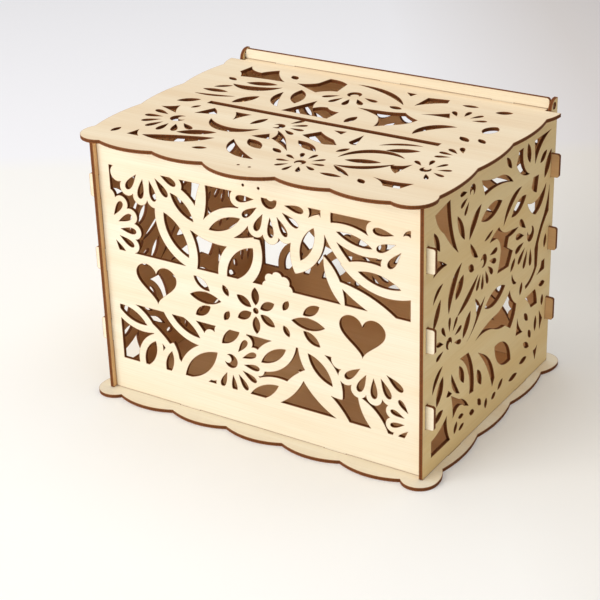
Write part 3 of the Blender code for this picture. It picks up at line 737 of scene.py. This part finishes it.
LID_SLITS = slits(
    (-170.0, -142.5),
    flowers=(
        (160, 206, 32, -142, 31, 5, 300),
        (265, 190, 26, 20, 36, 4, None),
        (64, 90, 35, 163, 27, 7, 30),
        (146, 112, 27, -30, 30, 4, 200),
        (203, 53, 23, -28, 36, 10, 270),
        (292, 84, 23, -60, 40, 6, 90),
        (306, 118, 26, 120, 26, 4, None),
    ),
    leaves=(
        (76, 194, 28, 9, 14),
        (46, 194, 11, 5, -25),
        (50, 174, 16, 5, 34),
        (50, 162, 24, 7, 4),
        (86, 154, 26, 10, 62),
        (121, 180, 34, 12, -68),
        (92, 221, 11, 6, -40),
        (206, 193, 12, 6, -10),
        (258, 224, 14, 5, 4),
        (289, 222, 14, 7, 20),
        (288, 154, 13, 6, -36),
        (302, 156, 11, 5, -40),
        (297, 181, 18, 12, 80),
        (45, 131, 20, 8, 34),
        (96, 70, 32, 10, 24),
        (35, 46, 11, 5, 80),
        (118, 43, 12, 5, 20),
        (126, 114, 18, 6, 70),
        (151, 70, 24, 10, -36),
        (174, 66, 12, 5, -30),
        (189, 85, 28, 9, -31),
        (259, 110, 26, 8, 22),
        (243, 77, 28, 8, 15),
        (236, 42, 18, 5, 0),
        (262, 42, 10, 5, -40),
        (218, 90, 12, 5, 60),
        (60, 120, 9, 4, 60),
        (188, 152, 16, 7, 80),
    ),
    sickles=(
        (54, 183, 97, 193, 13, 3),
        (38, 149, 74, 156, 4, 0),
        (104, 184, 119, 151, 8, 1),
        (208, 202, 150, 230, 10, 4),
        (247, 146, 271, 175, -3, -12),
        (88, 102, 136, 99, 18, 9),
        (61, 46, 116, 66, 12, -2),
        (131, 71, 168, 42, 12, 2),
        (237, 112, 268, 125, -1, -5),
        (222, 76, 268, 96, -10, -17),
        (228, 61, 267, 82, 9, 3),
        (228, 60, 249, 46, 2, -2),
    ),
    gaps=(
        ((48, 203, -1), (90, 207, -2), (70, 231, 1), (59, 219, -3), (42, 230, 0), (40, 214, -1)),
        ((102, 209, 0), (128, 196, -2), (143, 206, 0), (141, 226, 2), (121, 232, 0), (118, 218, -2)),
        ((127, 145, 0), (170, 145, 0), (171, 162, -2), (157, 168, 2), (147, 161, -1), (141, 178, 0)),
        (
            (179, 179, -1),
            (203, 169, -2),
            (212, 147, 0),
            (226, 158, 2),
            (236, 175, -1),
            (219, 186, -1),
            (199, 181, 0),
        ),
        ((217, 205, -2), (238, 222, 0), (236, 230, 0), (218, 227, 0)),
        ((196, 231, 0), (203, 224, 0), (205, 231, 0)),
        ((232, 189, -1), (256, 191, 0), (251, 201, -0.5)),
        ((34, 108, 0), (54, 100, -1), (47, 116, -1)),
        ((68, 107, 0), (86, 112, 1), (76, 124, 0)),
        ((97, 124, -1), (105, 108, -1), (112, 124, 0)),
        ((139, 84, 1), (155, 84, 0), (149, 94, 0)),
        ((151, 103, -2), (156, 86, -1), (181, 69, 0), (167, 89, 1)),
        ((173, 104, 1), (199, 94, 0), (208, 97, 0), (200, 106, -1), (182, 117, 0)),
        ((213, 108, 2), (221, 104, 0), (216, 125, 0)),
        ((265, 80, 1), (276, 67, 0), (279, 88, -2)),
        ((266, 53, -1.5), (280, 42, 0), (293, 42, 0), (298, 55, -2)),
        ((49, 42, 0), (60, 42, -1), (52, 54, 0)),
        ((190, 124, 0), (199, 119, 0), (200, 126, 0)),
    ),
)


class Shader:
    """A material's node tree, with a short way to add and join nodes."""

    def __init__(self, name):
        self.material = bpy.data.materials.new(name)
        self.material.use_nodes = True
        self.tree = self.material.node_tree
        self.surface = self.tree.nodes["Principled BSDF"]

    def add(self, kind, **settings):
        """A new node with its settings."""
        node = self.tree.nodes.new(kind)
        for key, value in settings.items():
            setattr(node, key, value)
        return node

    def join(self, start, end):
        """Links an output to an input."""
        self.tree.links.new(start, end)

    def streaks(self, scale, detail):
        """Noise over the sheet's own coordinates, drawn out by scale along and across the grain."""
        sheet = self.add("ShaderNodeUVMap", uv_map="sheet")
        stretch = self.add("ShaderNodeMapping")
        stretch.inputs["Scale"].default_value = (*scale, 1.0)
        noise = self.add("ShaderNodeTexNoise")
        noise.inputs["Scale"].default_value = 1.0
        noise.inputs["Detail"].default_value = detail
        noise.inputs["Roughness"].default_value = 0.55
        self.join(sheet.outputs["UV"], stretch.inputs["Vector"])
        self.join(stretch.outputs["Vector"], noise.inputs["Vector"])
        return noise.outputs["Fac"]

    def ramp(self, value, *stops):
        """A colour ramp over value, from (place, colour) stops."""
        ramp = self.add("ShaderNodeValToRGB")
        elements = ramp.color_ramp.elements
        while len(elements) < len(stops):
            elements.new(0.5)
        for element, (place, color) in zip(elements, stops):
            element.position = place
            element.color = (*color, 1.0)
        self.join(value, ramp.inputs["Fac"])
        return ramp.outputs["Color"]

    def blend(self, factor, first, second, how="MIX"):
        """Mixes two colours. factor is a number or a socket."""
        mix = self.add("ShaderNodeMix", data_type="RGBA", blend_type=how)
        for key, value in ((0, factor), (6, first), (7, second)):
            if isinstance(value, (float, int)):
                mix.inputs[key].default_value = value
            elif isinstance(value, tuple):
                mix.inputs[key].default_value = (*value, 1.0)
            else:
                self.join(value, mix.inputs[key])
        return mix.outputs[2]

    def bump(self, value, distance, strength):
        """Lets value raise the surface, by distance in metres at most."""
        bump = self.add("ShaderNodeBump")
        bump.inputs["Distance"].default_value = distance
        bump.inputs["Strength"].default_value = strength
        self.join(value, bump.inputs["Height"])
        self.join(bump.outputs["Normal"], self.surface.inputs["Normal"])


BLACK = (0.0, 0.0, 0.0)
WHITE = (1.0, 1.0, 1.0)

# Colours of the wood as they look on screen, from 0 to 255.
EDGE_OUTER = (142, 86, 42)
EDGE_CORE = (110, 63, 28)
EDGE_GLUE = (60, 30, 12)
SCORCH = (158, 106, 58)
# Each veneer's pale wood, darker bands and pores.
VENEER_TONES = {
    "veneer": ((240, 232, 211), (234, 219, 190), (209, 180, 140)),
    "veneer_lid": ((240, 225, 197), (232, 210, 177), (201, 167, 125)),
    # A more saturated copy of the wood for the side panels, which paints the shade that falls on them.
    "veneer_side_painted_shade": ((240, 216, 163), (232, 201, 140), (199, 156, 97)),
    # A browner copy of the wood for inner faces: painted shade and warm bounce light inside the box, with a
    # little smoke residue.
    "veneer_inside_painted_shade": ((230, 191, 141), (220, 177, 125), (189, 144, 96)),
}
OUTER_VENEER = {"lid_panel": "veneer_lid", "right_panel": "veneer_side_painted_shade", "left_panel": "veneer_side_painted_shade"}


def linear(r, g, b):
    """A colour as it looks on screen, from 0 to 255, as linear light."""
    return tuple((c / 255 / 12.92) if c < 10.3 else ((c / 255 + 0.055) / 1.055) ** 2.4 for c in (r, g, b))


def make_veneer(name, pale, tan, pore):
    """A plywood face: fine fibres along the sheet, broad soft bands, and a scorched rim."""
    shader = Shader(name)
    fibre = shader.streaks((14.0, 950.0), 4.0)
    band = shader.streaks((2.2, 38.0), 3.0)
    fleck = shader.streaks((75.0, 2600.0), 2.0)
    body = shader.blend(shader.ramp(band, (0.34, BLACK), (0.68, WHITE)), linear(*pale), linear(*tan))
    lines = shader.ramp(fibre, (0.42, WHITE), (0.72, (0.87, 0.82, 0.75)))
    body = shader.blend(0.5, body, lines, "MULTIPLY")
    pores = shader.ramp(fleck, (0.66, BLACK), (0.8, (0.35,) * 3))
    body = shader.blend(pores, body, linear(*pore))
    rim = shader.add("ShaderNodeAttribute", attribute_name="scorch")
    heat = shader.add("ShaderNodeMath", operation="POWER")
    heat.inputs[1].default_value = 1.6
    shader.join(rim.outputs["Fac"], heat.inputs[0])
    body = shader.blend(heat.outputs[0], body, linear(*SCORCH))
    shader.join(body, shader.surface.inputs["Base Color"])
    shader.surface.inputs["Roughness"].default_value = 0.62
    shader.surface.inputs["Specular IOR Level"].default_value = 0.3
    shader.bump(fibre, 0.00006, 0.6)
    return shader.material


def make_cut_edge():
    """A laser-cut edge: burnt brown, with the plies showing faintly and fine marks across them."""
    shader = Shader("burnt_edge")
    marks = shader.streaks((1500.0, 60.0), 3.0)
    sheet = shader.add("ShaderNodeUVMap", uv_map="sheet")
    split = shader.add("ShaderNodeSeparateXYZ")
    shader.join(sheet.outputs["UV"], split.inputs["Vector"])
    depth = shader.add("ShaderNodeMath", operation="MULTIPLY")
    depth.inputs[1].default_value = 1000.0 / PLY
    shader.join(split.outputs["Y"], depth.inputs[0])
    outer_ply = linear(*EDGE_OUTER)
    core_ply = linear(*EDGE_CORE)
    glue = linear(*EDGE_GLUE)
    plies = shader.ramp(
        depth.outputs[0],
        (0.0, glue),
        (0.08, outer_ply),
        (0.27, outer_ply),
        (0.31, glue),
        (0.35, core_ply),
        (0.65, core_ply),
        (0.69, glue),
        (0.73, outer_ply),
        (0.92, outer_ply),
        (1.0, glue),
    )
    soot = shader.ramp(marks, (0.3, (0.55, 0.5, 0.45)), (0.7, (1.15, 1.1, 1.05)))
    shader.join(shader.blend(1.0, plies, soot, "MULTIPLY"), shader.surface.inputs["Base Color"])
    shader.surface.inputs["Roughness"].default_value = 0.75
    shader.surface.inputs["Specular IOR Level"].default_value = 0.2
    shader.bump(marks, 0.00005, 0.5)
    return shader.material


veneers = {name: make_veneer(name, *tones) for name, tones in VENEER_TONES.items()}
cut_edge = make_cut_edge()

WALL_MIDDLE = HALF_DEPTH - LIP - PLY / 2
X_AXIS = (1.0, 0.0, 0.0)
Y_AXIS = (0.0, 1.0, 0.0)
Z_AXIS = (0.0, 0.0, 1.0)
# The parts of the sheets' inner faces that show the browner veneer, which paints the shade and warm bounce
# light inside the box, with a little smoke residue; on the back panel it also paints the shade on the tabs
# that stand out of the side panels. They reach past a sheet's own edges where all of it does.
WALL_INSIDE = (PLY / 2 - HALF_WIDTH, 0.0, HALF_WIDTH - PLY / 2, WALL_TOP + 20)
BACK_INSIDE = (-HALF_WIDTH - 10, -1.0, HALF_WIDTH + 10, WALL_TOP)
SIDE_INSIDE = (-HALF_DEPTH - 5, -1.0, HALF_DEPTH + 5, WALL_TOP + 1)
BASE_INSIDE = (PLY / 2 - HALF_WIDTH, -WALL_MIDDLE, HALF_WIDTH - PLY / 2, WALL_MIDDLE)
LID_INSIDE = (-HALF_WIDTH - 20, -HALF_DEPTH - 40, HALF_WIDTH + 20, HALF_DEPTH + 10)

pilots = [disc(x, PILOT_Z, PILOT) for x in (-7.0, 7.0)]
front_sheet = cut_sheet(wall_outline(WALL_TOP), WALL_WINDOWS, *WALL_LATTICE, emblem(EMBLEM_Z), pilots)
make_panel(
    "front_panel", "box", front_sheet, (0.0, PLY / 2 - WALL_MIDDLE, 0.0), X_AXIS, Z_AXIS, 1, WALL_INSIDE, 0.0
)

back_sheet = cut_sheet(wall_outline(BACK_TOP), WALL_WINDOWS, *WALL_LATTICE)
make_panel(
    "back_panel", "box", back_sheet, (0.0, WALL_MIDDLE + PLY / 2, 0.0), X_AXIS, Z_AXIS, -1, BACK_INSIDE, 0.37
)

side_cuts = slots_across(TAB_HEIGHTS, -WALL_MIDDLE) + slots_across(TAB_HEIGHTS, WALL_MIDDLE)
side_cuts.append(disc(PIN_Y, PIN_Z, PIN_HOLE, PIN_DISC))
side_sheet = cut_sheet(side_outline(), cuts=side_cuts + SIDE_SLITS)
make_panel(
    "right_panel", "box", side_sheet, (HALF_WIDTH - PLY, 0.0, 0.0), Y_AXIS, Z_AXIS, 1, SIDE_INSIDE, 0.71
)
make_panel("left_panel", "box", side_sheet, (-HALF_WIDTH, 0.0, 0.0), Y_AXIS, Z_AXIS, -1, SIDE_INSIDE, 1.13)

base_cuts = []
for y in (-WALL_MIDDLE, WALL_MIDDLE):
    for x in FRONT_FEET:
        base_cuts.append(box(x - TAB / 2 - GAP, y - PLY / 2 - GAP, x + TAB / 2 + GAP, y + PLY / 2 + GAP))
for x in (PLY / 2 - HALF_WIDTH, HALF_WIDTH - PLY / 2):
    for y in SIDE_FEET:
        base_cuts.append(box(x - PLY / 2 - GAP, y - TAB / 2 - GAP, x + PLY / 2 + GAP, y + TAB / 2 + GAP))
base_sheet = cut_sheet(base_outline(), cuts=base_cuts)
make_panel("base_plate", "box", base_sheet, (0.0, 0.0, 0.0), X_AXIS, Y_AXIS, -1, BASE_INSIDE, 1.57)

card_slot = box(-SLOT_HALF, SLOT_FRONT, SLOT_HALF, SLOT_REAR)
lid_pilots = [disc(x, PILOT_Y, PILOT) for x in (-5.0, 5.0)]
lid_sheet = cut_sheet(lid_outline(), cuts=[card_slot, *LID_SLITS], holes=lid_pilots)
make_panel("lid_panel", "lid", lid_sheet, (0.0, 0.0, LID_BOTTOM), X_AXIS, Y_AXIS, 1, LID_INSIDE, 1.91)

rail_sheet = cut_sheet(rail_outline())
make_panel("hinge_rail", "lid", rail_sheet, (0.0, LID_REAR, 0.0), X_AXIS, Z_AXIS, 0, WALL_INSIDE, 2.3)

# The room, in metres.
FLOOR_HALF = 9.0
FLOOR_TONE = (248, 248, 246)
FAR_TONE = (246, 247, 252)  # the floor far behind the box, where it looks like a wall
AHEAD = (-0.545, 0.839, 0.0)  # level and away from the camera
ASIDE = (0.839, 0.545, 0.0)  # level and to the camera's right
FAR_START = 0.51  # along AHEAD, where the floor starts to change to FAR_TONE
FAR_END = 0.56
# Painted shade: the floor darkens along ASIDE, where the light falls off to the camera's right, by these
# factors from these places on.
PAINTED_FLOOR_FALLOFF = ((0.12, (1.0, 1.0, 1.0)), (0.36, (0.8, 0.76, 0.72)), (0.9, (0.58, 0.56, 0.57)))
WORLD_TONE = (1.0, 0.985, 0.97)
WORLD_POWER = 0.42
# Each light's name, place, target, width and height, power in watts, and colour.
LIGHTS = (
    ("key", (-1.3, -2.4, 1.15), (0.0, 0.0, 0.12), (2.4, 1.8), 63.0, (1.0, 0.97, 0.93)),
    ("top", (0.0, 0.2, 2.4), (0.0, 0.0, 0.12), (2.4, 2.4), 29.0, (1.0, 0.98, 0.96)),
)
floor_mesh = bpy.data.meshes.new("floor")
floor_corners = box(-FLOOR_HALF, -FLOOR_HALF, FLOOR_HALF, FLOOR_HALF)
floor_mesh.from_pydata([(*corner, 0.0) for corner in floor_corners], [], [(0, 1, 2, 3)])
floor = bpy.data.objects.new("floor", floor_mesh)
bpy.context.scene.collection.objects.link(floor)
paper = Shader("floor_paper")
room = paper.add("ShaderNodeTexCoord")
ahead = paper.add("ShaderNodeVectorMath", operation="DOT_PRODUCT")
ahead.inputs[1].default_value = AHEAD
aside = paper.add("ShaderNodeVectorMath", operation="DOT_PRODUCT")
aside.inputs[1].default_value = ASIDE
for way in (ahead, aside):
    paper.join(room.outputs["Object"], way.inputs[0])
far = paper.ramp(ahead.outputs["Value"], (FAR_START, BLACK), (FAR_END, WHITE))
# Painted shade: the floor's tone falls off towards the camera's right.
dim = paper.ramp(aside.outputs["Value"], *PAINTED_FLOOR_FALLOFF)
tone = paper.blend(1.0, paper.blend(far, linear(*FLOOR_TONE), linear(*FAR_TONE)), dim, "MULTIPLY")
paper.join(tone, paper.surface.inputs["Base Color"])
paper.surface.inputs["Roughness"].default_value = 0.9
paper.surface.inputs["Specular IOR Level"].default_value = 0.1
floor_mesh.materials.append(paper.material)


def add_light(name, place, target, size, power, color):
    """A rectangular lamp at place that shines on target."""
    data = bpy.data.lights.new(name, "AREA")
    data.shape = "RECTANGLE"
    data.size = size[0]
    data.size_y = size[1]
    data.energy = power
    data.color = color
    lamp = bpy.data.objects.new(name, data)
    lamp.location = place
    lamp.rotation_euler = (Vector(target) - Vector(place)).to_track_quat("-Z", "Y").to_euler()
    bpy.context.scene.collection.objects.link(lamp)


for light in LIGHTS:
    add_light(*light)

world = bpy.data.worlds.new("room")
bpy.context.scene.world = world
world.use_nodes = True
world.node_tree.nodes["Background"].inputs["Color"].default_value = (*WORLD_TONE, 1.0)
world.node_tree.nodes["Background"].inputs["Strength"].default_value = WORLD_POWER

# The camera stands to the front right and looks down on the box.
AZIMUTH = math.radians(33.0)
ELEVATION = math.radians(25.88)
ROLL = math.radians(-1.72)
CAMERA_PLACE = (0.6461, -1.0393, 0.6669)
SENSOR = 36.0  # millimetres
LENS = 97.3  # millimetres
level = math.cos(ELEVATION)
look = Vector((-math.sin(AZIMUTH) * level, math.cos(AZIMUTH) * level, -math.sin(ELEVATION)))
camera_data = bpy.data.cameras.new("camera")
camera_data.sensor_width = SENSOR
camera_data.lens = LENS
camera_data.clip_start = 0.05
camera = bpy.data.objects.new("camera", camera_data)
turn = look.to_track_quat("-Z", "Y").to_matrix() @ Matrix.Rotation(ROLL, 3, "Z")
camera.matrix_world = Matrix.Translation(CAMERA_PLACE) @ turn.to_4x4()
bpy.context.scene.collection.objects.link(camera)
bpy.context.scene.camera = camera
bpy.context.scene.view_settings.view_transform = "Standard"

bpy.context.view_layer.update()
